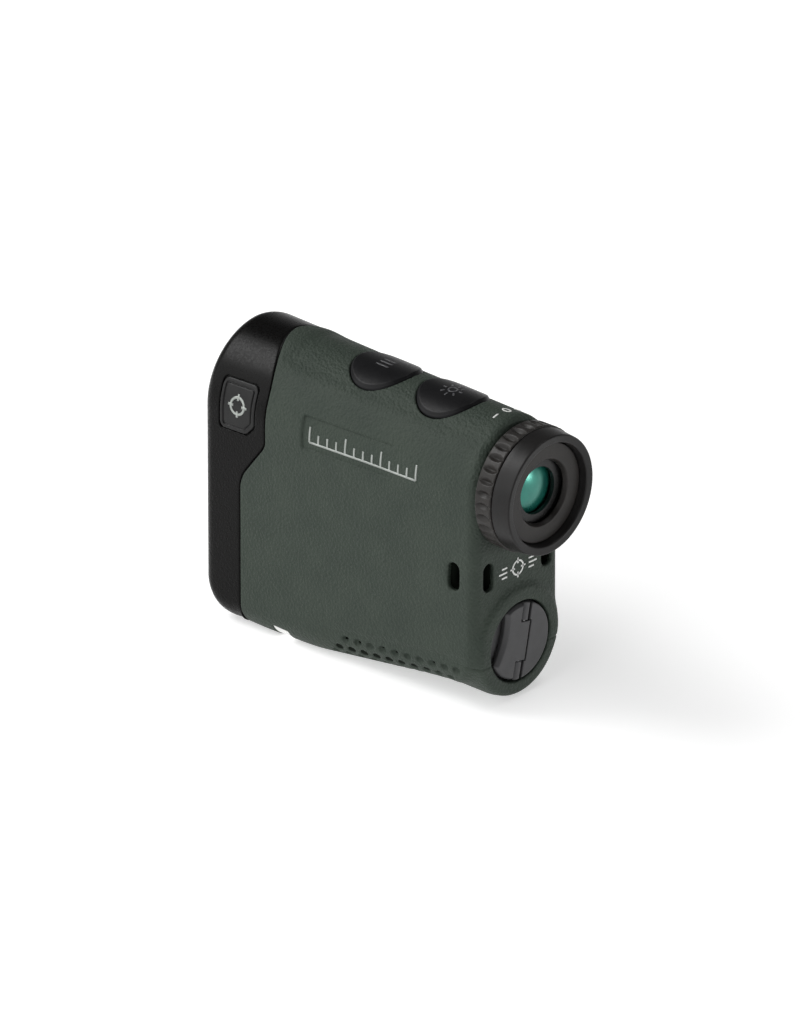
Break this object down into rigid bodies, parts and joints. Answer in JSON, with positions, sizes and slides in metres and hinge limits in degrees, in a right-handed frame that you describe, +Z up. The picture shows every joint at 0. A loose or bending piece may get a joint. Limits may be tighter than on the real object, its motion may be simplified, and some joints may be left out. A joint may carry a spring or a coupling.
{
  "type": "laser rangefinder",
  "caption": "Handheld laser rangefinder in a rubber-armoured upright body, with two top buttons, a turning eyepiece and a screw battery cap with a flip-up tab.",
  "frame": {"origin": "centre of the overall box in X and Y, at the underside", "axes": "-Y the way the objective looks, +Y out of the eyepiece, +Z up, X = 0 the mirror plane"},
  "size_m": [0.0374, 0.0966, 0.0744],
  "materials": {
    "green_armour": "fine pebbled matte",
    "bezel_plastic": "fine leather texture",
    "badge_plastic": "fine grain",
    "black_rubber": "matte",
    "label": "printed film",
    "housing_plastic": "moulded",
    "steel": "plain",
    "black_aluminium": "black anodised",
    "coated_glass": "green coating",
    "clear_glass": "clear",
    "inner_plastic": "moulded",
    "brass": "plain",
    "circuit_board": "solder mask",
    "flex_film": "film",
    "switch_plastic": "moulded",
    "button_plastic": "satin",
    "ring_plastic": "satin",
    "eyecup_rubber": "satin",
    "battery_wrap": "shrink film",
    "contact_metal": "nickel plated",
    "cap_plastic": "satin"
  },
  "bodies": {
    "body": {"front_bezel": "bezel_plastic", "bezel_badges": "badge_plastic", "bezel_gasket": "black_rubber", "armour_sleeve": "green_armour", "belly_label": "label", "housing_left": "housing_plastic", "housing_right": "housing_plastic", "housing_screws": "steel", "objective_cell": "black_aluminium", "objective_lens": "coated_glass", "objective_ring": "black_aluminium", "emitter_tube": "inner_plastic", "emitter_lens": "coated_glass", "emitter_ring": "black_aluminium", "laser_diode": "brass", "prism_holder": "inner_plastic", "front_prism": "clear_glass", "roof_prism": "clear_glass", "detector_board": "circuit_board", "display_module": "inner_plastic", "main_board": "circuit_board", "board_screws": "steel", "button_board": "circuit_board", "flex_cable": "flex_film", "menu_switch": "switch_plastic", "measure_switch": "switch_plastic", "button_membranes": "black_rubber", "eyepiece_barrel": "black_aluminium", "field_lens": "clear_glass", "eyepiece_o_ring": "black_rubber", "battery_tube": "inner_plastic", "battery": "battery_wrap", "front_contact": "contact_metal"},
    "menu_button": {"menu_button": "button_plastic"},
    "measure_button": {"measure_button": "button_plastic"},
    "dioptre_ring": {"dioptre_ring": "ring_plastic", "eyecup": "eyecup_rubber"},
    "focus_cell": {"lens_cell": "black_aluminium", "eye_lens": "coated_glass", "lens_cell_ring": "black_aluminium"},
    "cap_carrier": {"contact_carrier": "inner_plastic", "contact_spring": "contact_metal"},
    "battery_cap": {"cap_body": "cap_plastic", "cap_o_ring": "black_rubber", "tab_pin": "steel"},
    "cap_tab": {"cap_tab": "cap_plastic"}
  },
  "joints": [
    {"name": "menu_press", "type": "slide", "parent": "body", "child": "menu_button", "axis": [0, 0, -1], "range_m": [0, 0.0008], "stiffness_N_per_m": 1500, "springref_m": -0.0004},
    {"name": "measure_press", "type": "slide", "parent": "body", "child": "measure_button", "axis": [0, 0, -1], "range_m": [0, 0.0008], "stiffness_N_per_m": 1500, "springref_m": -0.0004},
    {"name": "dioptre_turn", "type": "hinge", "parent": "body", "child": "dioptre_ring", "pos_m": [0, 0.0405, 0.0554], "axis": [0, 1, 0], "range_deg": [-100, 100]},
    {"name": "dioptre_focus", "type": "slide", "parent": "body", "child": "focus_cell", "axis": [0, 1, 0], "range_m": [-0.0007, 0.0007]},
    {"name": "cap_travel", "type": "slide", "parent": "body", "child": "cap_carrier", "axis": [0, 1, 0], "range_m": [0, 0.006]},
    {"name": "cap_turn", "type": "hinge", "parent": "cap_carrier", "child": "battery_cap", "pos_m": [0, 0.0378, 0.0146], "axis": [0, 1, 0], "range_deg": [0, 1440]},
    {"name": "tab_flip", "type": "hinge", "parent": "battery_cap", "child": "cap_tab", "pos_m": [-0.00064, 0.0382, 0.01447], "axis": [-0.1994, 0, 0.9799], "range_deg": [0, 90]}
  ],
  "couplings": [
    {"joint": "dioptre_turn", "follows": "dioptre_focus", "rad_per_m": 2493},
    {"joint": "cap_turn", "follows": "cap_travel", "rad_per_m": 4188.7}
  ]
}
